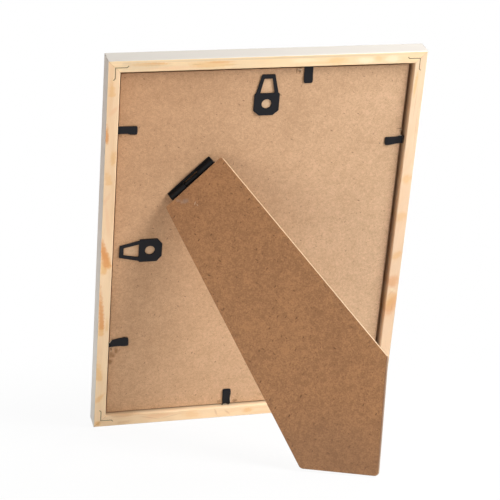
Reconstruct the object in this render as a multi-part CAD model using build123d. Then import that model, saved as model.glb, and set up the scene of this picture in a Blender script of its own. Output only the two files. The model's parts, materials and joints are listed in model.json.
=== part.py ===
from build123d import *
import math
import os

# Easel back photo frame, standing on its lower back edge and on its strut.
# Lengths are millimetres and angles are degrees.
# Every piece is drawn lying flat, as it is seen from behind: x to the right, y up the frame
# and z out of the back, with z = 0 on the back of the rails. The whole frame is then stood up.

# Frame rails
frame_width = 200.0
frame_height = 260.0
frame_depth = 13.0
rail_back_width = 7.7
lip_width = 5.5
front_edge_radius = 0.8
back_edge_radius = 0.6

# Glass, picture sheet and back board, from the front to the back
glass_thickness = 2.0
sheet_thickness = 0.3
board_thickness = 2.5
board_recess = 4.0
glass_play = 4.6
sheet_play = 4.6
board_left_gap = 1.2
board_right_gap = 2.4
board_bottom_gap = 0.7
board_top_gap = 2.3

# Corner nails, driven across each mitre from the back
nail_inset = 4.6
nail_leg = 7.0
nail_flick = 1.6
nail_thickness = 0.5
nail_depth = 7.0
nail_sink = 0.2

# Flex tabs that hold the back board, each counted anticlockwise along its own rail
tab_width = 5.4
tab_reach = 12.0
tab_thickness = 0.5
tab_root_depth = 5.0
tab_tip_radius = 0.6
tab_board_gap = 0.2
tab_bend_gap = 0.05
tab_wall_gap = 0.3
tab_lift_angle = 2.0
tab_place_shares = {
    "bottom_tab": ("bottom", 0.446),
    "right_lower_tab": ("right", 0.169),
    "right_upper_tab": ("right", 0.763),
    "top_tab": ("top", 0.373),
    "left_upper_tab": ("left", 0.181),
    "left_lower_tab": ("left", 0.761),
}
tab_turns = {"right_upper_tab": 4.0, "left_lower_tab": 3.5}

# Hangers, measured from the centre of the round hole towards the loop
portrait_hanger_inset = 33.1
landscape_hanger_inset = 32.1
portrait_hanger_share = 0.501
landscape_hanger_share = 0.495
hanger_thickness = 0.7
hanger_end = 19.6
hanger_end_width = 8.2
hanger_shoulder = 6.9
hanger_width = 16.0
hanger_loop_root_width = 14.6
hanger_heel = 4.6
hanger_foot = 7.7
hanger_foot_width = 8.7
hanger_corner_radius = 0.6
window_low = 7.1
window_low_width = 9.2
window_high = 16.9
window_high_width = 5.2
hanger_hole_diameter = 6.3
hanger_bend_lap = 0.6
hanger_loop_angle = 1.0
claw_thickness = 0.7
claw_depth = 1.6
claw_slot = 1.8
claw_clearance = 0.04

# Strut and its hinge
hinge_from_left = 55.85
hinge_from_bottom = 178.2
open_angle = 45.66
hinge_length = 35.0
outer_knuckle_radius = 2.2
middle_knuckle_radius = 1.4
middle_knuckle_length = 11.0
knuckle_gap = 0.15
knuckle_board_gap = 0.1
pin_radius = 0.8
pin_clearance = 0.05
leaf_thickness = 0.8
leaf_reach = 15.0
leaf_gap = 0.1
leaf_knuckle_gap = 0.4
heel_reach = 3.0
heel_thickness = 1.2
heel_board_gap = 0.1
heel_knuckle_gap = 0.25
tack_spread = 22.0
tack_from_axis = 9.0
tack_shank_radius = 0.9
tack_head_radius = 1.8
tack_head_height = 0.6
tack_depth_in_wood = 2.0
tack_clearance = 0.03
strut_thickness = 3.0
strut_top_width = 47.1
strut_top_gap = 0.3
strut_flare_angle = 11.74
strut_foot_from_bottom = 8.1
strut_foot_from_side = 11.7
strut_top_radius = 1.5
strut_side_radius = 2.0
strut_tip_radius = 2.5
strut_heel_radius = 3.2
strut_edge_break = 0.2

overrun = 1.0

# Sizes that follow from the ones above
rail_full_width = rail_back_width + lip_width
rebate_depth = board_recess + board_thickness + sheet_thickness + glass_thickness
rebate_width = frame_width - 2 * rail_back_width
rebate_height = frame_height - 2 * rail_back_width
board_left = rail_back_width + board_left_gap
board_right = frame_width - rail_back_width - board_right_gap
board_bottom = rail_back_width + board_bottom_gap
board_top = frame_height - rail_back_width - board_top_gap
glass_right = board_left + rebate_width - glass_play
glass_top = board_bottom + rebate_height - glass_play
sheet_right = board_left + rebate_width - sheet_play
sheet_top = board_bottom + rebate_height - sheet_play
board_front_z = -board_recess - board_thickness
sheet_front_z = board_front_z - sheet_thickness
tab_z = -board_recess + tab_board_gap + tab_thickness / 2
hinge_z = -board_recess + knuckle_board_gap + outer_knuckle_radius
board_leaf_top_z = -board_recess + leaf_thickness
strut_leaf_low_z = board_leaf_top_z + leaf_gap
strut_low_z = strut_leaf_low_z + leaf_thickness
strut_top_y = -outer_knuckle_radius - strut_top_gap
leaf_start = outer_knuckle_radius + leaf_knuckle_gap
outer_knuckle_length = (hinge_length - middle_knuckle_length) / 2 - knuckle_gap
outer_knuckle_place = (hinge_length - outer_knuckle_length) / 2

# Each rail lies along x with its outer edge on y = 0, and these places turn it to its side.
side_places = {
    "bottom": Location((frame_width / 2, 0, 0)),
    "right": Location((frame_width, frame_height / 2, 0), (0, 0, 90)),
    "top": Location((frame_width / 2, frame_height, 0), (0, 0, 180)),
    "left": Location((0, frame_height / 2, 0), (0, 0, 270)),
}
side_lengths = {"bottom": frame_width, "right": frame_height, "top": frame_width, "left": frame_height}
corner_places = [
    Location((0, 0, 0)),
    Location((frame_width, 0, 0), (0, 0, 90)),
    Location((frame_width, frame_height, 0), (0, 0, 180)),
    Location((0, frame_height, 0), (0, 0, 270)),
]

# The hinge lies at 45 degrees across the board. On its own plane x runs along the pin,
# up to the right, and the strut hangs towards -y.
hinge_plane = Plane((hinge_from_left, hinge_from_bottom, 0), x_dir=(1, 1, 0), z_dir=(0, 0, 1))
hinge_line = Axis((hinge_from_left, hinge_from_bottom, hinge_z), (-1, -1, 0))

pieces = {}


def slab(outline, low_z, high_z):
    return Pos(0, 0, low_z) * extrude(outline, high_z - low_z)


def block(x_low, x_high, y_low, y_high, z_low, z_high):
    size = Box(x_high - x_low, y_high - y_low, z_high - z_low, align=Align.MIN)
    return Pos(x_low, y_low, z_low) * size


def layer(right, top, front_z, back_z):
    return block(board_left, right, board_bottom, top, front_z, back_z)


def rail(length):
    section = make_face(Polyline(
        (0, 0),
        (rail_back_width, 0),
        (rail_back_width, -rebate_depth),
        (rail_full_width, -rebate_depth),
        (rail_full_width, -frame_depth),
        (0, -frame_depth),
        close=True,
    ))
    section = fillet(section.vertices().group_by(Axis.Y)[0], front_edge_radius)
    section = fillet(section.vertices().group_by(Axis.Y)[-1], back_edge_radius)
    bar = extrude(Plane.YZ * section, length / 2, both=True)
    reach = rail_full_width + overrun
    mitred = make_face(Polyline(
        (-length / 2, 0),
        (length / 2, 0),
        (length / 2 - reach, reach),
        (reach - length / 2, reach),
        close=True,
    ))
    return bar & slab(mitred, -frame_depth - overrun, overrun)


def corner_nail(top_z):
    leg_end = nail_inset + nail_leg
    flick_out = nail_inset - nail_flick / math.sqrt(2)
    flick_end = leg_end + nail_flick / math.sqrt(2)
    line = Polyline(
        (flick_end, flick_out),
        (leg_end, nail_inset),
        (nail_inset, nail_inset),
        (nail_inset, leg_end),
        (flick_out, flick_end),
    )
    return slab(trace(line, line_width=nail_thickness), -nail_sink - nail_depth, top_z)


def tab_place(name):
    side, share = tab_place_shares[name]
    along = (share - 0.5) * side_lengths[side]
    turn = Location((along, rail_back_width, tab_z), (0, 0, tab_turns.get(name, 0)))
    return side_places[side] * turn


def tab_bend(name):
    skew = math.sin(math.radians(tab_turns.get(name, 0)))
    return tab_thickness / 2 + tab_wall_gap + tab_width / 2 * skew


def tab_root(name):
    front = tab_bend(name) - tab_thickness / 2 - tab_bend_gap
    return Pos(0, (front - tab_root_depth) / 2, 0) * Box(tab_width, front + tab_root_depth, tab_thickness)


def tab_leaf(name):
    bend = tab_bend(name)
    half = tab_width / 2
    corners = [(-half, bend), (half, bend), (half, tab_reach), (-half, tab_reach)]
    plate = make_face(Polyline(*corners, close=True))
    plate = fillet(plate.vertices().group_by(Axis.Y)[-1], tab_tip_radius)
    leaf = slab(plate, -tab_thickness / 2, tab_thickness / 2)
    leaf += Pos(0, bend, 0) * Rot(0, 90, 0) * Cylinder(tab_thickness / 2, tab_width)
    return leaf.rotate(Axis((0, bend, 0), (1, 0, 0)), tab_lift_angle)


def claws(clearance):
    radius = hanger_hole_diameter / 2
    ring = Circle(radius + claw_thickness + clearance) - Circle(radius - clearance)
    gap = claw_slot - 2 * clearance
    across = 2 * (radius + claw_thickness + overrun)
    ring -= Rectangle(gap, across) + Rectangle(across, gap)
    return slab(ring, -claw_depth - clearance, 0)


def hanger():
    base = make_face(Polyline(
        (-hanger_foot_width / 2, -hanger_foot),
        (hanger_foot_width / 2, -hanger_foot),
        (hanger_width / 2, -hanger_heel),
        (hanger_width / 2, hanger_shoulder),
        (-hanger_width / 2, hanger_shoulder),
        (-hanger_width / 2, -hanger_heel),
        close=True,
    ))
    base = fillet(base.vertices(), hanger_corner_radius)
    base -= Circle(hanger_hole_diameter / 2)
    bend = hanger_shoulder - hanger_bend_lap
    loop = make_face(Polyline(
        (-hanger_loop_root_width / 2, bend),
        (hanger_loop_root_width / 2, bend),
        (hanger_end_width / 2, hanger_end),
        (-hanger_end_width / 2, hanger_end),
        close=True,
    ))
    loop = fillet(loop.vertices().group_by(Axis.Y)[-1], hanger_corner_radius)
    window = make_face(Polyline(
        (-window_low_width / 2, window_low),
        (window_low_width / 2, window_low),
        (window_high_width / 2, window_high),
        (-window_high_width / 2, window_high),
        close=True,
    ))
    loop -= fillet(window.vertices(), hanger_corner_radius)
    plate = slab(base, 0, hanger_thickness) + claws(0)
    return plate + slab(loop, 0, hanger_thickness).rotate(Axis((0, bend, 0), (1, 0, 0)), hanger_loop_angle)


def tack(clearance):
    shank_radius = tack_shank_radius + clearance
    shank_depth = leaf_thickness + tack_depth_in_wood + clearance
    downwards = (Align.CENTER, Align.CENTER, Align.MAX)
    head = Cone(shank_radius, tack_head_radius + clearance, tack_head_height, align=downwards)
    return head + Cylinder(shank_radius, shank_depth, align=downwards)


def knuckle(radius, length, along):
    return Pos(along, 0, hinge_z) * Rot(0, 90, 0) * Cylinder(radius, length)


def strut_blank():
    half = strut_top_width / 2
    foot_x = frame_width - strut_foot_from_side - hinge_from_left
    foot_y = strut_foot_from_bottom - hinge_from_bottom
    root2 = math.sqrt(2)
    flare = math.tan(math.radians(strut_flare_angle))
    heel_y = (root2 * foot_y + half + flare * strut_top_y) / (1 + flare)
    corners = [
        ((-half, strut_top_y), strut_top_radius),
        ((half, strut_top_y), strut_top_radius),
        ((half, half - root2 * foot_x), strut_side_radius),
        (((foot_x + foot_y) / root2, (foot_y - foot_x) / root2), strut_tip_radius),
        ((root2 * foot_y - heel_y, heel_y), strut_heel_radius),
    ]
    outline = make_face(Polyline(*[point for point, radius in corners], close=True))
    for point, radius in corners:
        outline = fillet(outline.vertices().sort_by_distance(point)[:1], radius)
    blank = slab(outline, strut_low_z, strut_low_z + strut_thickness)
    return chamfer(blank.faces().sort_by(Axis.Z)[-1].edges(), strut_edge_break)


def board_leaf():
    half = hinge_length / 2
    tongue = middle_knuckle_length / 2
    leaf = block(-half, half, -leaf_reach, -leaf_start, -board_recess, board_leaf_top_z)
    leaf += block(-tongue, tongue, -leaf_start, 0, -board_recess, board_leaf_top_z)
    leaf += block(-tongue, tongue, -middle_knuckle_radius, 0, board_leaf_top_z, hinge_z)
    leaf += knuckle(middle_knuckle_radius, middle_knuckle_length, 0)
    return leaf - knuckle(pin_radius + pin_clearance, hinge_length, 0)


def strut_leaf():
    half = hinge_length / 2
    leaf = block(-half, half, -leaf_reach, -leaf_start, strut_leaf_low_z, strut_low_z)
    heel_low_z = -board_recess + heel_board_gap
    heel_start = middle_knuckle_radius + heel_knuckle_gap
    stops = [block(-half, half, heel_start, heel_reach, heel_low_z, heel_low_z + heel_thickness)]
    for along in (-outer_knuckle_place, outer_knuckle_place):
        left = along - outer_knuckle_length / 2
        right = along + outer_knuckle_length / 2
        leaf += block(left, right, -leaf_start, 0, strut_leaf_low_z, strut_low_z)
        leaf += knuckle(outer_knuckle_radius, outer_knuckle_length, along)
        stops.append(block(left, right, 0, heel_reach, heel_low_z, heel_low_z + heel_thickness))
    return leaf, stops


# Rails, mitred and nailed at the corners, with a slit for each flex tab
for side, place in side_places.items():
    pieces[side + "_rail"] = place * rail(side_lengths[side])
nails = [place * corner_nail(-nail_sink) for place in corner_places]
for index, place in enumerate(corner_places):
    groove = place * corner_nail(overrun)
    for side in (list(side_places)[index], list(side_places)[index - 1]):
        pieces[side + "_rail"] -= groove
pieces["corner_nails"] = Compound(children=nails)
roots = {name: tab_place(name) * tab_root(name) for name in tab_place_shares}
for name, root in roots.items():
    pieces[tab_place_shares[name][0] + "_rail"] -= root
    pieces[name] = tab_place(name) * tab_leaf(name)
pieces["tab_roots"] = Compound(children=list(roots.values()))

# Glass, sheet and board share their lower left corner, pushed down and to the left in the rebate.
pieces["glass_pane"] = layer(glass_right, glass_top, -rebate_depth, sheet_front_z)
pieces["picture_sheet"] = layer(sheet_right, sheet_top, sheet_front_z, board_front_z)
board = layer(board_right, board_top, board_front_z, -board_recess)

# Hangers, one for each way up
portrait_height = frame_height - portrait_hanger_inset
landscape_height = landscape_hanger_share * frame_height
portrait = Location((portrait_hanger_share * frame_width, portrait_height, -board_recess))
landscape = Location((landscape_hanger_inset, landscape_height, -board_recess), (0, 0, 90))
for name, place in (("portrait_hanger", portrait), ("landscape_hanger", landscape)):
    pieces[name] = place * hanger()
    board -= place * claws(claw_clearance)

# Hinge and strut, drawn folded against the board and then opened about the pin
tack_rows = [Pos(along, -tack_from_axis, 0) for along in (-tack_spread / 2, tack_spread / 2)]
board_tack_places = [row * Pos(0, 0, board_leaf_top_z) for row in tack_rows]
strut_tack_places = [row * Pos(0, 0, strut_leaf_low_z) * Rot(180, 0, 0) for row in tack_rows]
lower_leaf = board_leaf()
for place in board_tack_places:
    lower_leaf -= place * tack(tack_clearance)
    board -= hinge_plane * place * tack(tack_clearance)
pieces["back_board"] = board
pieces["hinge_board_leaf"] = hinge_plane * lower_leaf
board_tacks = [hinge_plane * place * tack(0) for place in board_tack_places]
pieces["board_leaf_tacks"] = Compound(children=board_tacks)

upper_leaf, stops = strut_leaf()
strut = strut_blank()
for place in strut_tack_places:
    upper_leaf -= place * tack(tack_clearance)
    strut -= place * tack(tack_clearance)
upper_leaf = (hinge_plane * upper_leaf).rotate(hinge_line, open_angle)
for stop in stops:
    upper_leaf += hinge_plane * stop
bore = hinge_plane * knuckle(pin_radius + pin_clearance, hinge_length + overrun, 0)
pieces["hinge_strut_leaf"] = upper_leaf - bore
pieces["hinge_pin"] = hinge_plane * knuckle(pin_radius, hinge_length, 0)
pieces["strut"] = (hinge_plane * strut).rotate(hinge_line, open_angle)
strut_tacks = Compound(children=[hinge_plane * place * tack(0) for place in strut_tack_places])
pieces["strut_leaf_tacks"] = strut_tacks.rotate(hinge_line, open_angle)

# The frame leans back about its lower back edge until the strut's tip meets the floor.
upright = Plane((0, 0, 0), x_dir=(-1, 0, 0), z_dir=(0, 1, 0)).location
least_lean = 0
most_lean = 60
for step in range(40):
    lean = (least_lean + most_lean) / 2
    strut_low = (Rot(-lean, 0, 0) * upright * pieces["strut"]).bounding_box().min.Z
    if strut_low > 0:
        least_lean = lean
    else:
        most_lean = lean
leaned = Rot(-lean, 0, 0) * upright
box = Compound(children=[leaned * piece for piece in pieces.values()]).bounding_box()
stand = Pos(-box.center().X, -box.center().Y, -box.min.Z) * leaned

os.makedirs("parts", exist_ok=True)
for name, piece in pieces.items():
    export_step(stand * piece, "parts/" + name + ".step")
print(f"lean {lean:.2f} degrees, box {box.size.X:.1f} x {box.size.Y:.1f} x {box.size.Z:.1f} mm")
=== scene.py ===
import bmesh
import bpy
import json
import math
import random
from mathutils import Matrix, Vector


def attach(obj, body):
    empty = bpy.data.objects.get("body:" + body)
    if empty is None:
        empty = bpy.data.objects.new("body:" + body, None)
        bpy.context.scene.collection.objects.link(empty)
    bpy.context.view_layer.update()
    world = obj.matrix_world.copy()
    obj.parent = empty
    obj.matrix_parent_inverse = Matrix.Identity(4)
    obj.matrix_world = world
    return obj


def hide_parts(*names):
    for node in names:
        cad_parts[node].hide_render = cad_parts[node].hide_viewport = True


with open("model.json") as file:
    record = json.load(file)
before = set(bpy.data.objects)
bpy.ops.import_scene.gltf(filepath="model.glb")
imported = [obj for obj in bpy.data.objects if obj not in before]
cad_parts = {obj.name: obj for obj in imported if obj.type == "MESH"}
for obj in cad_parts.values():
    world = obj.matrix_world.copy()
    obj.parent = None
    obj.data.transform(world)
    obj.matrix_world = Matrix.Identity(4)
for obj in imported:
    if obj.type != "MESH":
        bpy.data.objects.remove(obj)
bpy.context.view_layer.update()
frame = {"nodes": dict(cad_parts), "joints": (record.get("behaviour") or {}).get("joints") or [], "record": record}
nodes = frame["nodes"]
record = frame["record"]
print("frame loaded:", len(nodes), "pieces")

# The flat measure, in millimetres: x to the right as seen from behind, y up the frame, z out of its back.
# Zero is the lower left corner of the rails' back. It is read from the mounts and joints of the record.
frameSize = {"width": 200.0, "height": 260.0, "depth": 13.0, "rebate": 8.8}
mounts = {mount["name"]: mount for mount in record["mounts"]}
joints = {joint["name"]: joint for joint in frame["joints"]}
outOfBack = Vector(mounts["portrait_hanger_loop"]["axis"])
upFrame = -Vector(mounts["bottom_face"]["axis"])
toRight = upFrame.cross(outOfBack)
millimetre = 0.001
flatZero = Vector(mounts["bottom_face"]["pos_m"])
flatZero += (outOfBack * frameSize["depth"] - toRight * frameSize["width"]) / 2 * millimetre


def placeMatrix(xAxis, yAxis, zAxis, zero):
    axes = Matrix((xAxis, yAxis, zAxis)).transposed().to_4x4()
    return Matrix.Translation(zero) @ axes @ Matrix.Scale(millimetre, 4)


flatPlace = placeMatrix(toRight, upFrame, outOfBack, flatZero)
hinge = joints["strut_hinge"]
hingeZero = Vector(hinge["pos_m"])
openAngle = -math.radians(hinge["range_deg"][0])
hingeTurn = Matrix.Rotation(openAngle, 4, Vector(hinge["axis"]))
openStrut = Matrix.Translation(hingeZero) @ hingeTurn @ Matrix.Translation(-hingeZero)
strutPlace = openStrut @ flatPlace  # the flat measure, swung out with the strut
print("flat measure set, strut open by", round(math.degrees(openAngle), 1))


# Camera, lamps and stage

cameraSet = {
    "place": (0.30369, 1.12029, 0.32606), "turn": (80.1608, 0.729, 165.2837), "lens": 136.975, "sensor": 36.0,
}
lampSet = {
    "rightHighSoftbox": {"around": 45, "above": 40, "away": 0.9, "size": 0.5, "light": 0.885},
    "rightSoftbox": {"around": 45, "above": 22, "away": 2.4, "size": 1.1, "light": 0.36},
    "rightRimSoftbox": {"around": 90, "above": 22, "away": 2.0, "size": 0.9, "light": 0.20},
    "frontRightSoftbox": {"around": 140, "above": 30, "away": 2.0, "size": 0.9, "light": 0.26},
    "frontSoftbox": {"around": 180, "above": 30, "away": 2.0, "size": 0.9, "light": 0.19},
    "leftCard": {
        "around": -130, "above": 10, "away": 2.0, "size": 0.9, "light": 0.27, "tint": (1.05, 1.0, 0.96),
    },
    "leftLowCard": {
        "around": -50, "above": -4, "away": 0.5, "size": 0.3, "light": 0.23, "tint": (1.02, 0.93, 0.80),
    },
}
stageSet = {
    "aim": (0.0, 0.0, 0.12), "floorSize": 60.0, "floorColour": 0.80, "ambient": 0.02,
    "nearGlow": 0.93, "shadowShare": 0.07, "shadowNear": 0.12, "shadowFar": 0.34, "mirroredWithin": 95,
}


def makeCamera():
    camera = bpy.data.objects.new("camera", bpy.data.cameras.new("camera"))
    bpy.context.scene.collection.objects.link(camera)
    camera.location = cameraSet["place"]
    camera.rotation_euler = [math.radians(angle) for angle in cameraSet["turn"]]
    camera.data.lens = cameraSet["lens"]
    camera.data.sensor_width = cameraSet["sensor"]
    bpy.context.scene.camera = camera


def makeLamp(name, lamp):
    # around is counted from straight behind towards the right rail
    around = math.radians(lamp["around"])
    above = math.radians(lamp["above"])
    away = Vector((-math.sin(around) * math.cos(above), math.cos(around) * math.cos(above), math.sin(above)))
    data = bpy.data.lights.new(name, "AREA")
    data.shape = "DISK"
    data.size = lamp["size"]
    data.color = lamp.get("tint", (1, 1, 1))
    data.energy = lamp["light"] * math.pi ** 2 * lamp["away"] ** 2
    made = bpy.data.objects.new(name, data)
    bpy.context.scene.collection.objects.link(made)
    made.location = Vector(stageSet["aim"]) + away * lamp["away"]
    made.rotation_euler = away.to_track_quat("Z", "Y").to_euler()
    # lamps in front don't mirror in the glass, and no lamp lights the sheet a second time through it
    made.visible_glossy = abs(lamp["around"]) < stageSet["mirroredWithin"]
    made.visible_transmission = False


def addNode(tree, kind, values=None, **settings):
    node = tree.nodes.new("ShaderNode" + kind)
    for key, value in settings.items():
        setattr(node, key, value)
    for key, value in (values or {}).items():
        if isinstance(value, bpy.types.NodeSocket):
            tree.links.new(value, node.inputs[key])
        else:
            node.inputs[key].default_value = value
    return node


def doMath(tree, operation, first, second=0.0, third=0.0):
    return addNode(tree, "Math", {0: first, 1: second, 2: third}, operation=operation).outputs[0]


def fade(tree, value, start, end):
    # 0 before start and 1 after end, with a soft step between them
    ranged = addNode(tree, "MapRange", {"Value": value, 1: start, 2: end}, interpolation_type="SMOOTHSTEP")
    return ranged.outputs[0]


def spread(tree, value, low, high):
    # takes 0 to 1 onto low to high
    return addNode(tree, "MapRange", {"Value": value, 3: low, 4: high}).outputs[0]


def mixColour(tree, share, first, second, blend="MIX"):
    mixed = addNode(tree, "Mix", {0: share, 6: first, 7: second}, data_type="RGBA", blend_type=blend)
    return mixed.outputs[2]


def greyColour(tree, level):
    return addNode(tree, "CombineColor", {0: level, 1: level, 2: level}).outputs[0]


def addNoise(tree, place, stretch, detail=2.0, roughness=0.5, distortion=0.0):
    # stretch holds how many waves go on a millimetre along x, y and z
    scaled = addNode(tree, "VectorMath", {0: place, 1: stretch}, operation="MULTIPLY").outputs[0]
    values = {"Vector": scaled, "Scale": 1.0, "Detail": detail, "Roughness": roughness, "Distortion": distortion}
    return addNode(tree, "TexNoise", values).outputs["Fac"]


def addPlace(tree, place):
    # millimetres in the measure that place gives
    back = place.inverted()
    values = {
        "Vector": addNode(tree, "TexCoord").outputs["Object"], "Location": back.to_translation(),
        "Rotation": back.to_euler(), "Scale": back.to_scale(),
    }
    return addNode(tree, "Mapping", values).outputs[0]


def turnPlace(tree, place, angle):
    values = {"Vector": place, "Rotation": (0, 0, math.radians(angle))}
    return addNode(tree, "Mapping", values).outputs[0]


def newMaterial(name):
    material = bpy.data.materials.new(name)
    material.use_nodes = True
    return material, material.node_tree, material.node_tree.nodes["Principled BSDF"]


def seenRays(tree):
    # straight from the camera, or by way of mirroring or clear surfaces alone
    path = addNode(tree, "LightPath").outputs
    straight = doMath(tree, "MAXIMUM", path["Is Camera Ray"], path["Is Glossy Ray"])
    straight = doMath(tree, "MAXIMUM", straight, path["Is Transmission Ray"])
    return doMath(tree, "MULTIPLY", straight, doMath(tree, "LESS_THAN", path["Diffuse Depth"], 0.5))


def makeStage():
    # seen straight or in a reflection, the floor is white with a soft shadow; other light meets a pale floor
    bm = bmesh.new()
    bmesh.ops.create_grid(bm, x_segments=1, y_segments=1, size=stageSet["floorSize"] / 2)
    floor = bpy.data.objects.new("floor", bpy.data.meshes.new("floor"))
    bm.to_mesh(floor.data)
    bm.free()
    bpy.context.scene.collection.objects.link(floor)
    material, tree, shader = newMaterial("paleFloor")
    shader.inputs["Base Color"].default_value = (stageSet["floorColour"],) * 3 + (1,)
    shader.inputs["Roughness"].default_value = 1
    shader.inputs["Specular IOR Level"].default_value = 0
    spot = addNode(tree, "TexCoord").outputs["Object"]
    far = addNode(tree, "VectorMath", {0: spot}, operation="LENGTH").outputs["Value"]
    far = fade(tree, far, stageSet["shadowNear"], stageSet["shadowFar"])
    glow = addNode(tree, "Emission", {"Strength": spread(tree, far, stageSet["nearGlow"], 1.0)}).outputs[0]
    share = greyColour(tree, spread(tree, far, stageSet["shadowShare"], 0.0))
    shade = addNode(tree, "BsdfDiffuse", {"Color": share}).outputs[0]
    white = addNode(tree, "AddShader", {0: glow, 1: shade}).outputs[0]
    floorMix = addNode(tree, "MixShader", {0: seenRays(tree), 1: shader.outputs[0], 2: white})
    tree.links.new(floorMix.outputs[0], tree.nodes["Material Output"].inputs["Surface"])
    floor.data.materials.append(material)

    world = bpy.data.worlds.new("studio")
    bpy.context.scene.world = world
    world.use_nodes = True
    tree = world.node_tree
    strength = addNode(tree, "Mix", {0: seenRays(tree), 2: stageSet["ambient"], 3: 1.0}).outputs[0]
    tree.nodes["Background"].inputs["Color"].default_value = (1, 1, 1, 1)
    tree.links.new(strength, tree.nodes["Background"].inputs["Strength"])


makeCamera()
for lampName, lampValues in lampSet.items():
    makeLamp(lampName, lampValues)
makeStage()
bpy.context.scene.view_settings.view_transform = "Standard"
print("camera,", len(lampSet), "lamps and floor made")


# Effects that several finishes share

def newGroup(name, inputs, outputs):
    group = bpy.data.node_groups.new(name, "ShaderNodeTree")
    for label, kind, value in inputs:
        group.interface.new_socket(label, in_out="INPUT", socket_type="NodeSocket" + kind).default_value = value
    for label, kind in outputs:
        group.interface.new_socket(label, in_out="OUTPUT", socket_type="NodeSocket" + kind)
    return group, group.nodes.new("NodeGroupInput").outputs, group.nodes.new("NodeGroupOutput").inputs


def useGroup(tree, group, values):
    return addNode(tree, "Group", values, node_tree=group).outputs


spotLook = {"rim": (1.05, 0.30), "detail": 3.0, "roughness": 0.6, "grain": 1.3}


def makeSoftSpot():
    # one patch with a soft, uneven rim; Size holds its half width, its reach up and its reach down
    inputs = [
        ("Place", "Vector", (0, 0, 0)), ("Centre", "Vector", (0, 0, 0)), ("Size", "Vector", (1, 1, 1)),
        ("Turn", "Float", 0.0), ("Ragged", "Float", 0.4), ("Grain", "Float", 0.5),
    ]
    tree, given, made = newGroup("softSpot", inputs, [("Mask", "Float")])
    offset = addNode(tree, "VectorMath", {0: given["Place"], 1: given["Centre"]}, operation="SUBTRACT").outputs[0]
    values = {"Vector": offset, "Angle": given["Turn"]}
    turned = addNode(tree, "VectorRotate", values, rotation_type="Z_AXIS").outputs[0]
    axes = addNode(tree, "SeparateXYZ", {0: turned}).outputs
    size = addNode(tree, "SeparateXYZ", {0: given["Size"]}).outputs
    across = doMath(tree, "DIVIDE", axes["X"], size["X"])
    down = doMath(tree, "DIVIDE", axes["Y"], doMath(tree, "MULTIPLY", size["Z"], -1.0))
    along = doMath(tree, "MAXIMUM", doMath(tree, "DIVIDE", axes["Y"], size["Y"]), down)
    away = doMath(tree, "MULTIPLY_ADD", across, across, doMath(tree, "MULTIPLY", along, along))
    away = doMath(tree, "SQRT", away)
    values = {
        "Vector": given["Place"], "Scale": given["Grain"], "Detail": spotLook["detail"],
        "Roughness": spotLook["roughness"],
    }
    rough = doMath(tree, "SUBTRACT", addNode(tree, "TexNoise", values).outputs["Fac"], 0.5)
    away = doMath(tree, "MULTIPLY_ADD", doMath(tree, "MULTIPLY", rough, given["Ragged"]), 2.0, away)
    tree.links.new(fade(tree, away, *spotLook["rim"]), made["Mask"])
    return tree


# waves on a millimetre across the grain, along it and into the wood
grainLook = {
    "sway": (0.06, 0.018, 0.06), "fibre": (2.4, 0.07, 2.4), "cloud": (0.10, 0.028, 0.10), "streak": (1.1, 0.10, 1.1),
    "early": 0.12, "ringStops": ((0.40, 0.0), (0.80, 0.85), (0.90, 1.0)),
    "ringLean": 0.7, "cloudRange": (0.30, 0.66),
    "streakRange": (0.66, 0.74), "streakTone": -0.07, "fibreTone": (0.93, 1.06), "ringHeight": 0.5,
}


def makePineGrain():
    # growth rings that cross the rail at a slant, fine fibres along it and short resin streaks
    inputs = [
        ("Place", "Vector", (0, 0, 0)), ("Slant", "Float", 0.16), ("Ring width", "Float", 7.0),
        ("Sway", "Float", 10.0), ("Late share", "Float", 0.6), ("Pale wood", "Color", (1, 1, 1, 1)),
        ("Late wood", "Color", (1, 1, 1, 1)),
    ]
    tree, given, made = newGroup("pineGrain", inputs, [("Colour", "Color"), ("Height", "Float")])
    place = given["Place"]
    axes = addNode(tree, "SeparateXYZ", {0: place}).outputs
    sway = addNoise(tree, place, grainLook["sway"], detail=2.0)
    ring = doMath(tree, "MULTIPLY_ADD", axes["Y"], given["Slant"], axes["X"])
    ring = doMath(tree, "MULTIPLY_ADD", axes["Z"], grainLook["ringLean"], ring)
    ring = doMath(tree, "MULTIPLY_ADD", sway, given["Sway"], ring)
    turn = doMath(tree, "FRACT", doMath(tree, "DIVIDE", ring, given["Ring width"]))
    late = addNode(tree, "ValToRGB", {0: turn})
    stops = late.color_ramp.elements
    late.color_ramp.interpolation = "EASE"
    stops[0].color = stops[1].color = (grainLook["early"],) * 3 + (1,)
    for at, level in grainLook["ringStops"]:
        stops.new(at).color = (level, level, level, 1)
    fibre = addNoise(tree, place, grainLook["fibre"], detail=3.0, roughness=0.6)
    cloud = addNoise(tree, place, grainLook["cloud"], detail=2.0)
    streak = fade(tree, addNoise(tree, place, grainLook["streak"], detail=1.0), *grainLook["streakRange"])
    share = doMath(tree, "MULTIPLY", late.outputs[0], fade(tree, cloud, *grainLook["cloudRange"]))
    share = doMath(tree, "MULTIPLY", share, given["Late share"])
    colour = mixColour(tree, share, given["Pale wood"], given["Late wood"])
    tone = spread(tree, fibre, *grainLook["fibreTone"])
    tone = doMath(tree, "MULTIPLY_ADD", streak, grainLook["streakTone"], tone)
    tree.links.new(mixColour(tree, 1.0, colour, greyColour(tree, tone), "MULTIPLY"), made["Colour"])
    height = doMath(tree, "MULTIPLY_ADD", late.outputs[0], grainLook["ringHeight"], fibre)
    tree.links.new(height, made["Height"])
    return tree


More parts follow.
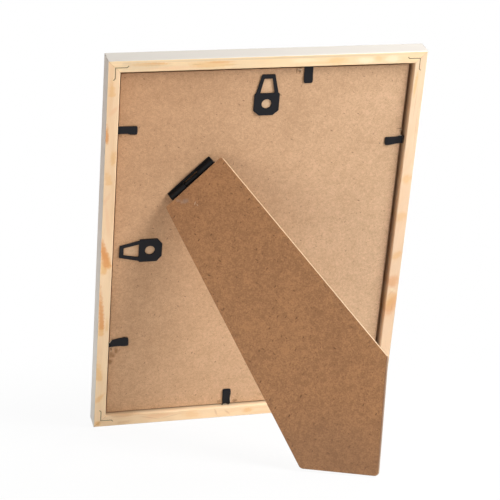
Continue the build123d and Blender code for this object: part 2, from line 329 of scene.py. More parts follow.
# sizes are waves on a millimetre, weights say how much of each goes into the tone
fibreLook = {
    "fleck": (1.5, 1.5, 1.5), "mottle": (0.55, 0.55, 0.55), "cloud": (0.16, 0.16, 0.16),
    "blotch": (0.025, 0.025, 0.025),
    "fleckWeight": 1.3, "cloudWeight": 0.5, "blotchWeight": 0.5, "middle": 1.65, "strandHeight": -0.4,
    "strand": (1.0, 0.26, 0.7), "strandAngles": (8, 67, 128), "strandRange": (0.60, 0.74),
    # dashes of bark lie two ways, with round dust between them; specks are (turn in degrees, cells on a
    # millimetre, stretch, smallest radius, growth, depth)
    "specks": (
        (25, 0.27, 0.42, 0.045, 0.05, 0.95), (115, 0.25, 0.38, 0.04, 0.05, 0.9), (0, 0.55, 1.0, 0.09, 0.10, 0.45),
    ),
    "speckRim": (1.3, 0.5), "faintest": 0.35, "bend": 1.4,
}


def makePressedFibre():
    # mottling, short strands lying every way in the sheet, and dark specks of bark
    inputs = [
        ("Place", "Vector", (0, 0, 0)), ("Grain", "Float", 1.0), ("Contrast", "Float", 1.0),
        ("Pale", "Color", (1, 1, 1, 1)), ("Dark", "Color", (0, 0, 0, 1)), ("Speck", "Color", (0, 0, 0, 1)),
        ("Speck share", "Float", 0.5), ("Strand share", "Float", 0.5),
    ]
    tree, given, made = newGroup("pressedFibre", inputs, [("Colour", "Color"), ("Height", "Float")])
    place = addNode(tree, "VectorMath", {0: given["Place"], "Scale": given["Grain"]}, operation="SCALE").outputs[0]
    fleck = addNoise(tree, place, fibreLook["fleck"], detail=2.0, roughness=0.6)
    mottle = addNoise(tree, place, fibreLook["mottle"], detail=3.0, roughness=0.60)
    cloud = addNoise(tree, place, fibreLook["cloud"], detail=2.0)
    blotch = addNoise(tree, place, fibreLook["blotch"], detail=2.0)
    tone = doMath(tree, "MULTIPLY_ADD", blotch, fibreLook["blotchWeight"], mottle)
    tone = doMath(tree, "MULTIPLY_ADD", cloud, fibreLook["cloudWeight"], tone)
    tone = doMath(tree, "SUBTRACT", tone, fibreLook["middle"])
    tone = doMath(tree, "MULTIPLY_ADD", fleck, fibreLook["fleckWeight"], tone)
    tone = doMath(tree, "MULTIPLY", tone, given["Contrast"])
    dashes = 0.0
    for angle in fibreLook["strandAngles"]:
        turned = turnPlace(tree, place, angle)
        dash = fade(tree, addNoise(tree, turned, fibreLook["strand"], detail=1.0), *fibreLook["strandRange"])
        dashes = doMath(tree, "MAXIMUM", dashes, dash)
    tone = doMath(tree, "ADD", tone, 0.5)
    colour = mixColour(tree, tone, given["Dark"], given["Pale"])
    colour = mixColour(tree, doMath(tree, "MULTIPLY", dashes, given["Strand share"]), colour, given["Dark"])
    spot = 0.0
    for angle, density, stretch, smallest, growth, depth in fibreLook["specks"]:
        values = {0: turnPlace(tree, place, angle), 1: (density, density * stretch, 1.0)}
        packed = addNode(tree, "VectorMath", values, operation="MULTIPLY").outputs[0]
        cells = addNode(tree, "TexVoronoi", {"Vector": packed, "Scale": 1.0}, voronoi_dimensions="2D").outputs
        chance = addNode(tree, "SeparateColor", {0: cells["Color"]}).outputs
        size = doMath(tree, "MULTIPLY_ADD", doMath(tree, "POWER", chance[0], 2.0), growth, smallest)
        dot = fade(tree, doMath(tree, "DIVIDE", cells["Distance"], size), *fibreLook["speckRim"])
        dot = doMath(tree, "MULTIPLY", dot, doMath(tree, "LESS_THAN", chance[1], given["Speck share"]))
        strong = doMath(tree, "POWER", chance[2], fibreLook["bend"])
        strong = spread(tree, strong, depth * fibreLook["faintest"], depth)
        spot = doMath(tree, "MAXIMUM", spot, doMath(tree, "MULTIPLY", dot, strong))
    tree.links.new(mixColour(tree, spot, colour, given["Speck"]), made["Colour"])
    height = doMath(tree, "MULTIPLY_ADD", dashes, fibreLook["strandHeight"], tone)
    tree.links.new(height, made["Height"])
    return tree


softSpot = makeSoftSpot()
pineGrain = makePineGrain()
pressedFibre = makePressedFibre()
print("shared spots, grain and fibre made")


def addSpots(tree, place, colour, marks, tints):
    # each mark is (tint, x, y, half width, reach up, reach down, turn in degrees, share, ragged)
    for tint, x, y, half, up, down, turn, share, ragged in marks:
        mask = useGroup(tree, softSpot, {
            "Place": place, "Centre": (x, y, 0), "Size": (half, up, down), "Turn": -math.radians(turn),
            "Ragged": ragged, "Grain": spotLook["grain"] / min(half, up),
        })["Mask"]
        colour = mixColour(tree, doMath(tree, "MULTIPLY", mask, share), colour, tints[tint])
    return colour


def paintedLightShadeRamp(tree, place, lightShadeRamp):
    # painted light and shade: the tint goes over from the first to the last along a straight line
    start, end = Vector(lightShadeRamp["from"] + (0,)), Vector(lightShadeRamp["to"] + (0,))
    along = (end - start) / (end - start).length_squared
    passed = addNode(tree, "VectorMath", {0: place, 1: along}, operation="DOT_PRODUCT").outputs["Value"]
    share = addNode(tree, "Clamp", {0: doMath(tree, "SUBTRACT", passed, start.dot(along))}).outputs[0]
    return mixColour(tree, share, lightShadeRamp["first"], lightShadeRamp["last"])


def addBump(tree, shader, height, strength, distance):
    values = {"Height": height, "Strength": strength, "Distance": distance * millimetre}
    tree.links.new(addNode(tree, "Bump", values).outputs[0], shader.inputs["Normal"])


def dress(piece, material):
    piece.data.materials.clear()
    piece.data.materials.append(material)


def easeEdges(piece, width, angle=40):
    # the loose triangles are joined up, then every sharp edge is rounded a little
    weld = piece.modifiers.new("weld", "WELD")
    weld.merge_threshold = 0.002 * millimetre
    flats = piece.modifiers.new("flats", "DECIMATE")
    flats.decimate_type = "DISSOLVE"
    flats.angle_limit = math.radians(0.5)
    eased = piece.modifiers.new("eased", "BEVEL")
    eased.width = width * millimetre
    eased.segments = 2
    eased.limit_method = "ANGLE"
    eased.angle_limit = math.radians(angle)
    eased.harden_normals = True


# Rails: white paint on the front and the outside, bare pine on the back and in the rebate

railLook = {
    "paint": (0.77, 0.72, 0.655, 1), "paintRoughness": 0.55, "woodRoughness": 0.65, "gloss": 0.2, "worn": 0.25,
    "creep": 0.42, "creepWaves": (0.30, 0.30, 0.30), "paintEdge": (0.14, 0.04), "seam": 0.10, "seamShare": 0.45,
    # the two depth ranges and the two darkest browns among the tints paint shade into the rebate
    "recessShadeDepth": (-0.6, -4.4), "deepShadeDepth": (-4.2, -5.2), "rolled": (0.9, 0.9, 0.9), "bump": (0.25, 0.08),
    "tints": {
        "orange": (0.76, 0.34, 0.12, 1), "honey": (0.84, 0.50, 0.20, 1), "peach": (0.90, 0.58, 0.35, 1),
        "cream": (0.96, 0.80, 0.57, 1), "vein": (0.42, 0.24, 0.10, 1), "tan": (0.60, 0.35, 0.17, 1),
        "recessShade": (0.13, 0.062, 0.024, 1), "warmRecessShade": (0.28, 0.11, 0.03, 1), "dullingShade": (0.58, 0.46, 0.32, 1),
    },
    "rails": {
        "left_rail": {
            "level": False, "shift": (3.0, 40.0, 0.0), "slant": 0.05, "ringWidth": 9.0, "sway": 12.0,
            "lateShare": 0.6, "recessShade": 0.6, "recessShadeTint": "recessShade", "deepShade": 0.9,
            # painted light and shade: darker towards the top of the left rail, lighter towards its foot
            "lightShadeRamp": {
                "from": (4.0, 165.0), "to": (4.0, 45.0), "first": (0.89, 0.865, 0.865, 1), "last": (1.05, 1.085, 1.12, 1),
            },
            "pale": (0.95, 0.71, 0.46, 1), "late": (0.84, 0.56, 0.32, 1),
            "marks": [
                ("honey", 2.8, 2.5, 3.0, 3.0, 2.6, 0, 0.7, 0.4), ("honey", 3.0, 22, 2.4, 6, 5, -38, 0.6, 0.4),
                ("honey", 2.4, 37.5, 3.0, 18, 2.6, 6, 0.65, 0.5), ("honey", 2.4, 71.5, 2.6, 11, 2.6, 0, 0.75, 0.4),
                ("orange", 2.6, 77, 2.4, 34, 4.0, 4, 0.85, 0.5), ("honey", 6.0, 75, 1.5, 11, 3, 0, 0.5, 0.5),
                ("honey", 2.6, 117, 2.9, 14, 3.0, 0, 0.75, 0.4), ("honey", 5.6, 121, 2.2, 12, 3.5, 8, 0.75, 0.5),
                ("orange", 4.2, 122.5, 3.4, 17, 4.5, 14, 0.80, 0.5), ("orange", 2.3, 130, 2.6, 13, 8, 12, 0.8, 0.5),
                ("peach", 3.8, 150, 1.7, 19, 12, 6, 0.50, 0.5), ("peach", 2.4, 168, 1.6, 7, 7, -30, 0.45, 0.5),
                ("honey", 3.4, 179, 3.0, 11, 2.2, 10, 0.50, 0.5), ("honey", 5.6, 196, 2.6, 7, 7, 0, 0.55, 0.5),
                ("orange", 1.0, 209, 1.6, 12, 4.5, 2, 0.85, 0.5), ("peach", 4.2, 227, 2.0, 6, 5, -40, 0.60, 0.4),
                ("honey", 3.2, 238, 2.8, 11, 2.0, 4, 0.55, 0.5),
            ],
        },
        "right_rail": {
            "level": False, "shift": (71.0, 310.0, 9.0), "slant": -0.9, "ringWidth": 20.0, "sway": 14.0,
            "lateShare": 0.25, "recessShade": 0.4, "recessShadeTint": "warmRecessShade", "deepShade": 0.6,
            "pale": (0.90, 0.655, 0.445, 1), "late": (0.86, 0.56, 0.33, 1),
            "marks": [
                ("orange", 195.8, 78, 5.4, 12, 10, -20, 0.62, 0.35),
                ("honey", 195.6, 84, 5.0, 8, 8, -25, 0.50, 0.35),
                ("cream", 196.2, 90.4, 3.6, 1.5, 1.5, -30, 0.50, 0.3),
                ("orange", 195.6, 97, 5.2, 6, 6, -30, 0.55, 0.4),
                ("honey", 196.0, 116.5, 5.0, 3.6, 3.6, 38, 0.55, 0.35),
                ("honey", 195.6, 145, 5.2, 4.6, 4.6, 42, 0.50, 0.35),
                ("honey", 196.2, 172, 4.6, 4.6, 4.0, 40, 0.55, 0.4),
                ("peach", 194.2, 190, 1.6, 8, 6, -8, 0.50, 0.5), ("honey", 194.4, 238, 1.5, 13, 12, -3, 0.60, 0.4),
                ("vein", 195.6, 225, 0.25, 18, 18, -2, 0.30, 0.6), ("vein", 198.0, 205, 0.22, 22, 20, 1, 0.25, 0.6),
                ("vein", 196.9, 76, 0.20, 6, 5, -4, 0.35, 0.6), ("vein", 194.9, 88, 0.22, 5, 4, -40, 0.30, 0.6),
            ],
        },
        "top_rail": {
            "level": True, "shift": (140.0, 655.0, 4.0), "slant": 0.03, "ringWidth": 6.0, "sway": 16.0,
            "lateShare": 0.45, "recessShade": 0.6, "recessShadeTint": "recessShade", "deepShade": 0.9,
            "pale": (0.91, 0.685, 0.425, 1), "late": (0.87, 0.575, 0.285, 1),
            "marks": [
                ("honey", 24, 257.2, 1.7, 16, 14, -90, 0.75, 0.45),
                ("peach", 40, 254.4, 1.8, 26, 24, -90, 0.60, 0.4),
                ("honey", 62, 255.8, 3.0, 20, 16, -90, 0.65, 0.45),
                ("orange", 28, 257.6, 0.6, 10, 9, -91, 0.50, 0.5),
                ("orange", 68, 257.2, 0.8, 12, 10, -90, 0.55, 0.5), ("vein", 54, 256.2, 0.22, 5, 4, -88, 0.5, 0.6),
                ("vein", 74, 255.2, 0.25, 9, 8, -90, 0.35, 0.6), ("vein", 27, 256.4, 0.20, 9, 8, -92, 0.35, 0.6),
                ("honey", 141, 255.6, 3.4, 10, 7, -90, 0.40, 0.4), ("cream", 160, 255.4, 2.6, 9, 8, -90, 0.8, 0.4),
                ("honey", 168, 256.2, 2.6, 4, 4, -90, 0.35, 0.4), ("cream", 177, 255.8, 3.0, 7, 6, -90, 0.8, 0.4),
                ("cream", 120, 256.4, 2.0, 12, 10, -90, 0.5, 0.4),
                # darker tone: a thin line along the top rail's outer edge, painted shade at its left end, and a faint
                # broad dulling
                ("dullingShade", 100, 258.7, 0.9, 130, 130, -90, 0.45, 0.2),
                ("dullingShade", 16, 256.0, 4.5, 26, 16, -90, 0.46, 0.3), ("dullingShade", 66, 255.5, 4.5, 50, 50, -90, 0.20, 0.3),
            ],
        },
        "bottom_rail": {
            "level": True, "shift": (215.0, 905.0, 2.0), "slant": 0.06, "ringWidth": 5.0, "sway": 16.0,
            "lateShare": 0.5, "recessShade": 0.5, "recessShadeTint": "recessShade", "deepShade": 0.95,
            "pale": (0.95, 0.74, 0.50, 1), "late": (0.88, 0.58, 0.32, 1),
            "marks": [
                ("tan", 17, 7.6, 1.6, 16, 8, -90, 0.38, 0.5), ("tan", 19, 2.2, 1.4, 8, 6, -86, 0.30, 0.5),
                ("honey", 2.8, 2.6, 2.2, 2.4, 2.2, 0, 0.7, 0.4), ("peach", 40, 5.0, 2.6, 16, 10, -86, 0.5, 0.5),
                ("vein", 36, 4.6, 0.45, 11, 8, -104, 0.22, 0.5), ("vein", 50, 4.0, 0.40, 11, 8, -78, 0.20, 0.5),
                ("tan", 82, 4.6, 0.9, 3.5, 3.5, 22, 0.35, 0.5), ("tan", 90, 3.8, 0.9, 3.4, 3.4, 48, 0.35, 0.5),
                ("honey", 104, 4.2, 2.6, 5, 5, -90, 0.55, 0.4), ("honey", 66, 4.0, 2.6, 8, 8, -90, 0.35, 0.4),
            ],
        },
    },
}


def paintedPine(name, rail):
    material, tree, shader = newMaterial(name + "Finish")
    flat = addPlace(tree, flatPlace)
    axes = addNode(tree, "SeparateXYZ", {0: flat}).outputs
    turn = math.radians(90 if rail["level"] else 0)
    values = {"Vector": flat, "Location": rail["shift"], "Rotation": (0, 0, turn)}
    along = addNode(tree, "Mapping", values).outputs[0]
    grain = useGroup(tree, pineGrain, {
        "Place": along, "Slant": rail["slant"], "Ring width": rail["ringWidth"], "Sway": rail["sway"],
        "Late share": rail["lateShare"], "Pale wood": rail["pale"], "Late wood": rail["late"],
    })
    wood = addSpots(tree, flat, grain["Colour"], rail["marks"], railLook["tints"])
    # painted shade: the wall of the rebate gets darker the deeper it lies, where little light reaches
    recessShade = doMath(tree, "MULTIPLY", fade(tree, axes["Z"], *railLook["recessShadeDepth"]), rail["recessShade"])
    deepShade = doMath(tree, "MULTIPLY", fade(tree, axes["Z"], *railLook["deepShadeDepth"]), rail["deepShade"])
    wood = mixColour(tree, doMath(tree, "MAXIMUM", recessShade, deepShade), wood, railLook["tints"][rail["recessShadeTint"]])
    # paint covers what lies on the outside or in front of the rebate, and creeps unevenly round the back edge
    acrossEdge = doMath(tree, "MINIMUM", axes["X"], doMath(tree, "SUBTRACT", frameSize["width"], axes["X"]))
    endEdge = doMath(tree, "MINIMUM", axes["Y"], doMath(tree, "SUBTRACT", frameSize["height"], axes["Y"]))
    seam = doMath(tree, "ABSOLUTE", doMath(tree, "SUBTRACT", acrossEdge, endEdge))
    seam = fade(tree, seam, railLook["seam"] * 2, railLook["seam"])
    inward = doMath(tree, "MINIMUM", acrossEdge, endEdge)
    creep = addNoise(tree, flat, railLook["creepWaves"], detail=3.0)
    inward = doMath(tree, "MULTIPLY_ADD", creep, -railLook["creep"], inward)
    outside = fade(tree, inward, *railLook["paintEdge"])
    front = fade(tree, axes["Z"], -frameSize["rebate"] - 0.1, -frameSize["rebate"] - 0.2)
    painted = doMath(tree, "MAXIMUM", outside, front)
    colour = mixColour(tree, painted, wood, railLook["paint"])
    seam = doMath(tree, "MULTIPLY", seam, railLook["seamShare"])
    colour = mixColour(tree, seam, colour, railLook["tints"]["vein"])
    # painted light and shade, laid over wood and paint alike
    if "lightShadeRamp" in rail:
        colour = mixColour(tree, 1.0, colour, paintedLightShadeRamp(tree, flat, rail["lightShadeRamp"]), "MULTIPLY")
    tree.links.new(colour, shader.inputs["Base Color"])
    shader.inputs["Specular IOR Level"].default_value = railLook["gloss"]
    values = {0: painted, 2: railLook["woodRoughness"], 3: railLook["paintRoughness"]}
    tree.links.new(addNode(tree, "Mix", values).outputs[0], shader.inputs["Roughness"])
    rolled = addNoise(tree, flat, railLook["rolled"], detail=2.0)
    height = addNode(tree, "Mix", {0: painted, 2: grain["Height"], 3: rolled}).outputs[0]
    addBump(tree, shader, height, *railLook["bump"])
    return material


for railName, railValues in railLook["rails"].items():
    dress(nodes[railName], paintedPine(railName, railValues))
    easeEdges(nodes[railName], railLook["worn"])
print("rails dressed")


# Back board and strut: pressed fibreboard, the strut browner and with more specks

boardLook = {
    "back_board": {
        "place": flatPlace, "pale": (0.74, 0.475, 0.287, 1), "dark": (0.53, 0.322, 0.178, 1),
        "speck": (0.24, 0.115, 0.05, 1),
        "speckShare": 0.26, "strandShare": 0.5, "grain": 1.0, "contrast": 1.5, "roughness": 0.62,
        "face": (-4.15, -4.03), "worn": 0.2, "cut": (0.44, 0.24, 0.12, 1), "rim": (0.40, 0.22, 0.11, 1),
        # painted light and shade: darker and warmer at the board's upper left, lighter and paler towards the right
        "lightShadeRamp": {
            "from": (9.0, 250.0), "to": (248.0, 106.0), "first": (0.75, 0.655, 0.57, 1), "last": (1.12, 1.21, 1.285, 1),
        },
        "tints": {"sootAndShade": (0.10, 0.05, 0.025, 1), "tan": (0.29, 0.145, 0.055, 1), "pale": (0.88, 0.68, 0.46, 1)},
        "marks": [
            ("tan", 9.8, 47.6, 2.2, 2.4, 2.4, 0, 0.85, 0.5), ("tan", 11.0, 52.6, 2.6, 3.0, 2.8, 25, 0.60, 0.6),
            ("tan", 12.0, 51.5, 1.4, 1.3, 1.3, 0, 0.70, 0.6), ("tan", 10.3, 53.0, 1.2, 1.7, 1.7, 0, 0.50, 0.6),
            ("tan", 13.5, 55.4, 1.7, 3.0, 2.7, 0, 0.85, 0.6), ("sootAndShade", 10.3, 57.1, 0.5, 1.7, 1.5, 8, 0.70, 0.5),
            ("tan", 15.7, 55.6, 1.0, 1.3, 1.3, 0, 0.35, 0.6), ("tan", 10.2, 208.9, 1.5, 1.1, 1.3, 0, 0.60, 0.5),
            ("tan", 117.7, 248.2, 0.7, 2.5, 2.7, 4, 0.60, 0.6), ("tan", 119.8, 247.4, 1.2, 1.5, 1.7, 0, 0.75, 0.6),
            ("tan", 119.4, 249.6, 1.7, 0.9, 0.9, 0, 0.60, 0.5), ("tan", 122.2, 243.2, 0.9, 2.0, 2.0, 0, 0.60, 0.4),
            ("tan", 189.4, 205.2, 0.9, 1.9, 1.9, 0, 0.60, 0.5), ("sootAndShade", 176.7, 196.4, 0.5, 0.7, 0.7, 0, 0.70, 0.4),
            ("tan", 85.0, 10.3, 1.8, 1.7, 1.7, 0, 0.50, 0.5), ("tan", 95.6, 10.0, 2.4, 1.5, 1.5, 0, 0.55, 0.5),
            # painted shade: the two marks along the hinge give its soft contact shadow and the dark gap between its
            # knuckles
            ("sootAndShade", 54.8, 179.3, 7.5, 1.2, 1.2, 45, 0.90, 0.1), ("sootAndShade", 54.2, 179.9, 21, 2.6, 1.2, 45, 0.60, 0.1),
            # painted light: the pale marks lift the shade in the portrait hanger's hole and window and under the
            # landscape hanger
            ("pale", 100.2, 226.9, 4.0, 4.0, 4.0, 0, 0.35, 0.1),
            ("pale", 100.2, 239.0, 5.0, 6.0, 6.0, 0, 0.20, 0.1), ("pale", 32.1, 128.7, 4.0, 4.0, 4.0, 0, 0.35, 0.1),
            ("pale", 20.0, 128.7, 6.0, 5.0, 5.0, 0, 0.25, 0.1),
        ],
    },
    "strut": {
        "place": strutPlace, "pale": (0.452, 0.218, 0.089, 1), "dark": (0.303, 0.139, 0.0555, 1),
        "speck": (0.125, 0.045, 0.014, 1),
        "speckShare": 0.75, "strandShare": 0.45, "grain": 0.72, "contrast": 2.3, "roughness": 0.58,
        "face": (0.52, 0.68), "worn": 0.08, "cut": (0.85, 0.66, 0.42, 1), "rim": (0.36, 0.19, 0.09, 1),
        # painted shade: the strut slightly darker near its hinge
        "lightShadeRamp": {
            "from": (48.0, 172.0), "to": (85.0, 110.0), "first": (0.92, 0.91, 0.91, 1), "last": (1.0, 1.0, 1.0, 1),
        },
        "tints": {"smoke": (0.30, 0.25, 0.21, 1), "pale": (0.80, 0.64, 0.48, 1), "sootAndShade": (0.05, 0.03, 0.02, 1),
                  "rim": (0.20, 0.11, 0.06, 1)},
        "marks": [
            ("smoke", 53.5, 164.3, 3.6, 2.0, 2.0, 20, 0.40, 0.6),
            ("smoke", 49.0, 164.5, 2.2, 1.4, 1.4, 10, 0.3, 0.6),
            ("pale", 60.0, 163.4, 0.5, 1.6, 1.6, -15, 0.35, 0.5),
            ("pale", 61.6, 162.4, 0.4, 1.1, 1.1, 20, 0.3, 0.5),
            # painted shade: the first mark darkens the strut along the hinge; the second darkens the right sawn edge
            ("sootAndShade", 56.6, 177.4, 8.0, 1.3, 1.3, 45, 0.9, 0.1), ("rim", 188.3, 45.0, 0.9, 90, 60, 0, 0.85, 0.1),
            # painted shade: a broad soft darkening over the strut's foot
            ("rim", 160.0, 8.0, 60, 45, 20, 0, 0.26, 0.1),
        ],
    },
}
sawnLook = {"waves": (0.8, 0.8, 0.8), "bump": (0.2, 0.06)}


def fibreboard(name, look):
    material, tree, shader = newMaterial(name + "Fibre")
    place = addPlace(tree, look["place"])
    fibre = useGroup(tree, pressedFibre, {
        "Place": place, "Grain": look["grain"], "Contrast": look["contrast"], "Pale": look["pale"],
        "Dark": look["dark"], "Speck": look["speck"], "Speck share": look["speckShare"],
        "Strand share": look["strandShare"],
    })
    # painted light and shade multiplied into the fibre colour
    colour = mixColour(tree, 1.0, fibre["Colour"], paintedLightShadeRamp(tree, place, look["lightShadeRamp"]), "MULTIPLY")
    # below the pressed face lie the worn rim and the sawn edge
    depth = addNode(tree, "SeparateXYZ", {0: place}).outputs["Z"]
    ragged = addNoise(tree, place, sawnLook["waves"], detail=3.0)
    sawn = mixColour(tree, ragged, look["rim"], look["cut"])
    colour = mixColour(tree, fade(tree, depth, *look["face"]), sawn, colour)
    colour = addSpots(tree, place, colour, look["marks"], look["tints"])
    tree.links.new(colour, shader.inputs["Base Color"])
    shader.inputs["Roughness"].default_value = look["roughness"]
    addBump(tree, shader, fibre["Height"], *sawnLook["bump"])
    return material


for boardName, boardValues in boardLook.items():
    dress(nodes[boardName], fibreboard(boardName, boardValues))
    easeEdges(nodes[boardName], boardValues["worn"])
print("board and strut dressed")


# Steel: black lacquer on the hinge, hangers and tabs, bare strip for the corner nails

steelLook = {
    "lacquer": {"colour": (0.0085, 0.0085, 0.011, 1), "roughness": 0.48, "metallic": 0.0, "gloss": 0.18},
    "hingeLacquer": {"colour": (0.004, 0.004, 0.0045, 1), "roughness": 0.48, "metallic": 0.0, "gloss": 0.13},
    "nailStrip": {"colour": (0.20, 0.17, 0.10, 1), "roughness": 0.5, "metallic": 0.5, "gloss": 0.4},
}
steelGrain = {
    "worn": 0.10, "waves": (0.8, 0.8, 0.8), "smoother": 0.08, "rougher": 0.12, "dents": (2.5, 2.5, 2.5),
    "bump": (0.12, 0.05),
}
lacquered = ["tab_roots", "portrait_hanger", "landscape_hanger"]
hingeParts = ["hinge_board_leaf", "hinge_strut_leaf", "hinge_pin", "board_leaf_tacks", "strut_leaf_tacks"]


def steel(name, look):
    material, tree, shader = newMaterial(name)
    place = addPlace(tree, flatPlace)
    shader.inputs["Base Color"].default_value = look["colour"]
    shader.inputs["Metallic"].default_value = look["metallic"]
    shader.inputs["Specular IOR Level"].default_value = look["gloss"]
    rough = addNoise(tree, place, steelGrain["waves"], detail=3.0)
    smoothest, roughest = look["roughness"] - steelGrain["smoother"], look["roughness"] + steelGrain["rougher"]
    tree.links.new(spread(tree, rough, smoothest, roughest), shader.inputs["Roughness"])
    addBump(tree, shader, addNoise(tree, place, steelGrain["dents"], detail=2.0), *steelGrain["bump"])
    return material


lacquer = steel("blackLacquer", steelLook["lacquer"])
hingeLacquer = steel("hingeLacquer", steelLook["hingeLacquer"])
for steelName in lacquered + hingeParts:
    dress(nodes[steelName], hingeLacquer if steelName in hingeParts else lacquer)
    easeEdges(nodes[steelName], steelGrain["worn"])
dress(nodes["corner_nails"], steel("nailStrip", steelLook["nailStrip"]))
print("steel dressed")


# Tabs: soft steel strips bent down by hand, each a little different

tabLook = {
    "thick": 0.5, "edge": 0.12, "corner": 0.5, "cornerFrom": 0.75, "across": 6, "along": 16, "rimAngle": 50,
    # stations run from the root to the tip: share of the reach, half width, drift sideways, rise off the flat
    "tabs": {
        "left_upper_tab": {"reach": 12.2, "stations": [
            (0, 2.55, 0, 0), (0.5, 2.5, 0.05, 0), (0.65, 2.8, 0.35, 0.1),
            (0.85, 2.85, 0.4, 0.2), (1, 2.8, 0.45, 0.15),
        ]},
        "left_lower_tab": {"reach": 12.8, "stations": [
            (0, 1.65, 1.5, 0), (0.2, 2.6, 0.6, 0.05), (0.5, 2.9, 0.3, 0.1),
            (0.8, 3.35, 0.35, 0.25), (1, 3.05, 0.7, 0.2),
        ]},
        "bottom_tab": {"reach": 11.7, "stations": [
            (0, 2.75, 0.6, 0), (0.35, 2.6, 0.2, 0), (0.7, 2.8, 0.25, 0.25),
            (0.85, 2.8, 0.2, 0.3), (1, 2.65, 0.1, -0.05),
        ]},
        "top_tab": {"reach": 11.9, "stations": [
            (0, 2.9, 0.2, 0), (0.4, 2.85, 0.1, 0), (0.85, 2.85, -0.1, 0.2), (1, 2.7, -0.15, 0.15),
        ]},
        "right_upper_tab": {"reach": 11.9, "stations": [
            (0, 2.75, 0.6, 0), (0.35, 2.5, 0.3, 0), (0.7, 2.75, 0.35, 0.25),
            (0.85, 2.8, 0.4, 0.3), (1, 2.75, 0.4, -0.05),
        ]},
        "right_lower_tab": {"reach": 11.6, "stations": [
            (0, 2.7, 0, 0), (0.5, 2.6, 0, 0), (0.85, 2.7, 0.1, 0.2), (1, 2.7, 0.1, 0.1),
        ]},
    },
}


def alongStations(stations, share):
    for low, high in zip(stations, stations[1:]):
        if share <= high[0]:
            step = (share - low[0]) / (high[0] - low[0])
            step = step * step * (3 - 2 * step)
            return [a + (b - a) * step for a, b in zip(low[1:], high[1:])]
    return stations[-1][1:]


smoothBelow = 42  # degrees between two faces


def finishPiece(name, bm, material, body, replaced=()):
    bmesh.ops.recalc_face_normals(bm, faces=bm.faces)
    for face in bm.faces:
        face.smooth = True
    for edge in bm.edges:
        edge.smooth = edge.calc_face_angle(0) < math.radians(smoothBelow)
    piece = bpy.data.objects.new(name, bpy.data.meshes.new(name))
    bm.to_mesh(piece.data)
    bm.free()
    bpy.context.scene.collection.objects.link(piece)
    dress(piece, material)
    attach(piece, body)
    if replaced:
        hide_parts(*replaced)
    return piece


def makeTab(name, tab):
    joint = joints[name + "_bend"]
    axis = Vector(joint["axis"])
    place = placeMatrix(axis, outOfBack.cross(axis), outOfBack, Vector(joint["pos_m"]))
    bm = bmesh.new()
    bmesh.ops.create_grid(bm, x_segments=tabLook["across"], y_segments=tabLook["along"], size=1)
    for vert in bm.verts:
        side, share = vert.co.x, (vert.co.y + 1) / 2
        half, drift, rise = alongStations(tab["stations"], share)
        near = max(0, share - tabLook["cornerFrom"]) / (1 - tabLook["cornerFrom"])
        pulled = tabLook["corner"] * side ** 6 * near  # rounds the tip's corners
        vert.co = (drift + half * side, share * tab["reach"] - pulled, rise - tabLook["thick"] / 2)
    bmesh.ops.solidify(bm, geom=bm.faces[:], thickness=-tabLook["thick"])
    bmesh.ops.recalc_face_normals(bm, faces=bm.faces)
    rims = [edge for edge in bm.edges if edge.calc_face_angle(0) > math.radians(tabLook["rimAngle"])]
    bmesh.ops.bevel(
        bm, geom=rims, offset=tabLook["edge"], offset_type="OFFSET", segments=2, profile=0.5, affect="EDGES",
        material=-1,
    )
    bmesh.ops.transform(bm, matrix=place, verts=bm.verts)
    finishPiece(name + "_strip", bm, lacquer, joint["child"], [name])


for tabName, tabValues in tabLook["tabs"].items():
    makeTab(tabName, tabValues)
print("tabs bent")


# Splinters torn up where tabs and nails were driven in

tornLook = {
    "sides": 6, "rings": 4, "tip": 0.3, "uneven": 0.18, "seed": 7, "roughness": 0.7, "strand": (0.9, 0.9, 0.9),
    # each fibre is (first end, second end, radius, bow), in the flat measure
    "pale_splinters": {
        "light": (0.92, 0.78, 0.58, 1), "dull": (0.58, 0.47, 0.34, 1),
        "fibres": [
            ((8.8, 62.3, -3.3), (10.6, 64.1, -3.5), 0.30, 0.2), ((9.2, 63.6, -3.7), (10.2, 65.2, -3.9), 0.16, 0.2),
            ((10.0, 55.4, -3.9), (10.7, 56.4, -3.9), 0.22, 0.1), ((9.4, 58.3, -3.8), (11.0, 58.6, -3.9), 0.14, 0.2),
            ((190.4, 201.6, -3.5), (189.0, 201.9, -3.7), 0.38, 0.1),
            ((190.2, 205.7, -3.7), (188.5, 205.5, -3.9), 0.16, 0.2),
            ((119.7, 248.9, -3.7), (120.9, 249.2, -3.6), 0.48, 0.1),
            ((118.6, 249.6, -3.8), (119.5, 248.0, -3.9), 0.14, 0.2),
            ((92.3, 9.2, -3.4), (92.7, 12.4, -3.9), 0.20, 0.2), ((87.6, 8.3, -2.9), (90.2, 8.2, -2.9), 0.22, 0.1),
            ((86.4, 9.0, -3.6), (85.6, 11.6, -3.9), 0.16, 0.3),
        ],
    },
    "dark_splinters": {
        "light": (0.22, 0.12, 0.06, 1), "dull": (0.09, 0.045, 0.022, 1),
        "fibres": [
            ((190.7, 206.4, -3.7), (186.9, 206.3, -3.9), 0.15, 0.2),
            ((10.6, 56.2, -3.9), (9.9, 58.4, -3.8), 0.18, 0.4),
            ((117.8, 249.8, -3.8), (117.6, 246.6, -3.9), 0.14, 0.2),
            ((118.9, 248.2, -3.8), (120.6, 246.9, -3.9), 0.16, 0.3),
            ((95.0, 9.2, -3.8), (97.4, 10.4, -3.9), 0.16, 0.2), ((84.2, 9.1, -3.8), (83.6, 11.3, -3.9), 0.15, 0.2),
        ],
    },
}


def tornWood(name, look):
    material, tree, shader = newMaterial(name + "Wood")
    strand = addNoise(tree, addPlace(tree, flatPlace), tornLook["strand"], detail=2.0)
    colour = mixColour(tree, fade(tree, strand, 0.35, 0.6), look["dull"], look["light"])
    tree.links.new(colour, shader.inputs["Base Color"])
    shader.inputs["Roughness"].default_value = tornLook["roughness"]
    return material


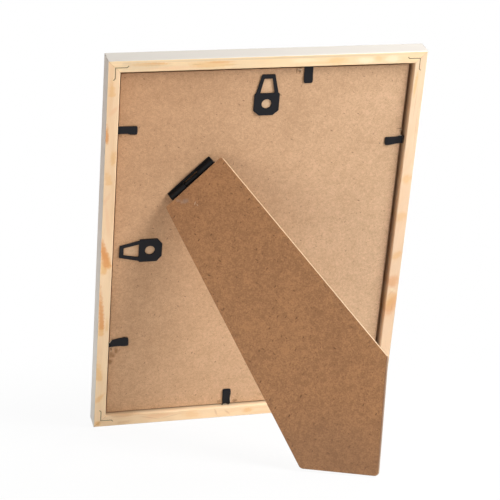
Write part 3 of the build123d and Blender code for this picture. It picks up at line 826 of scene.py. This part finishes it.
def makeSplinters(name, look):
    uneven = random.Random(tornLook["seed"])
    bm = bmesh.new()
    oneStick = bpy.data.meshes.new("oneStick")
    for first, second, radius, bow in look["fibres"]:
        first, second = Vector(first), Vector(second)
        along = second - first
        stick = bmesh.new()
        bmesh.ops.create_cone(
            stick, cap_ends=True, segments=tornLook["sides"], radius1=radius, radius2=radius * tornLook["tip"],
            depth=along.length,
        )
        lengthways = [edge for edge in stick.edges if edge.verts[0].co.z * edge.verts[1].co.z < 0]
        bmesh.ops.subdivide_edges(stick, edges=lengthways, cuts=tornLook["rings"])
        for vert in stick.verts:
            share = vert.co.z / along.length + 0.5
            thick = 1 + uneven.uniform(-tornLook["uneven"], tornLook["uneven"])
            vert.co = (vert.co.x * thick + bow * math.sin(math.pi * share), vert.co.y * thick, vert.co.z)
        turn = along.to_track_quat("Z", "Y").to_matrix().to_4x4()
        bmesh.ops.transform(stick, matrix=Matrix.Translation((first + second) / 2) @ turn, verts=stick.verts)
        stick.to_mesh(oneStick)
        stick.free()
        bm.from_mesh(oneStick)
    bpy.data.meshes.remove(oneStick)
    bmesh.ops.transform(bm, matrix=flatPlace, verts=bm.verts)
    finishPiece(name, bm, tornWood(name, look), "frame")


for splinterName in ("pale_splinters", "dark_splinters"):
    makeSplinters(splinterName, tornLook[splinterName])
print("splinters torn up")


# Glass and sheet, seen from the front

glassLook = {
    "tint": (0.985, 0.997, 0.99, 1), "clean": 0.01, "wiped": 0.05, "wipe": (0.05, 0.012, 0.05), "bend": 1.47,
    "edge": 0.2, "play": 0.06,
}
sheetLook = {
    "pale": (0.86, 0.85, 0.82, 1), "dark": (0.82, 0.81, 0.78, 1), "roughness": 0.75, "fibre": (1.2, 1.2, 1.2),
}


def clearGlass():
    material, tree, shader = newMaterial("clearGlass")
    shader.inputs["Base Color"].default_value = glassLook["tint"]
    smear = addNoise(tree, addPlace(tree, flatPlace), glassLook["wipe"], detail=3.0)  # left by a wiping cloth
    wiped = spread(tree, fade(tree, smear, 0.45, 0.7), glassLook["clean"], glassLook["wiped"])
    tree.links.new(wiped, shader.inputs["Roughness"])
    shader.inputs["IOR"].default_value = glassLook["bend"]
    shader.inputs["Transmission Weight"].default_value = 1.0
    through = addNode(tree, "BsdfTransparent", {"Color": glassLook["tint"]}).outputs[0]
    shadow = addNode(tree, "LightPath").outputs["Is Shadow Ray"]
    mixed = addNode(tree, "MixShader", {0: shadow, 1: shader.outputs[0], 2: through})
    tree.links.new(mixed.outputs[0], tree.nodes["Material Output"].inputs["Surface"])
    return material


def plainPaper():
    material, tree, shader = newMaterial("plainPaper")
    fibre = addNoise(tree, addPlace(tree, flatPlace), sheetLook["fibre"], detail=4.0)
    tree.links.new(mixColour(tree, fibre, sheetLook["dark"], sheetLook["pale"]), shader.inputs["Base Color"])
    shader.inputs["Roughness"].default_value = sheetLook["roughness"]
    return material


dress(nodes["glass_pane"], clearGlass())
easeEdges(nodes["glass_pane"], glassLook["edge"])
shrunk = nodes["glass_pane"].modifiers.new("shrunk", "DISPLACE")
shrunk.mid_level = 0
shrunk.strength = -glassLook["play"] * millimetre
dress(nodes["picture_sheet"], plainPaper())
print("glass and sheet dressed")
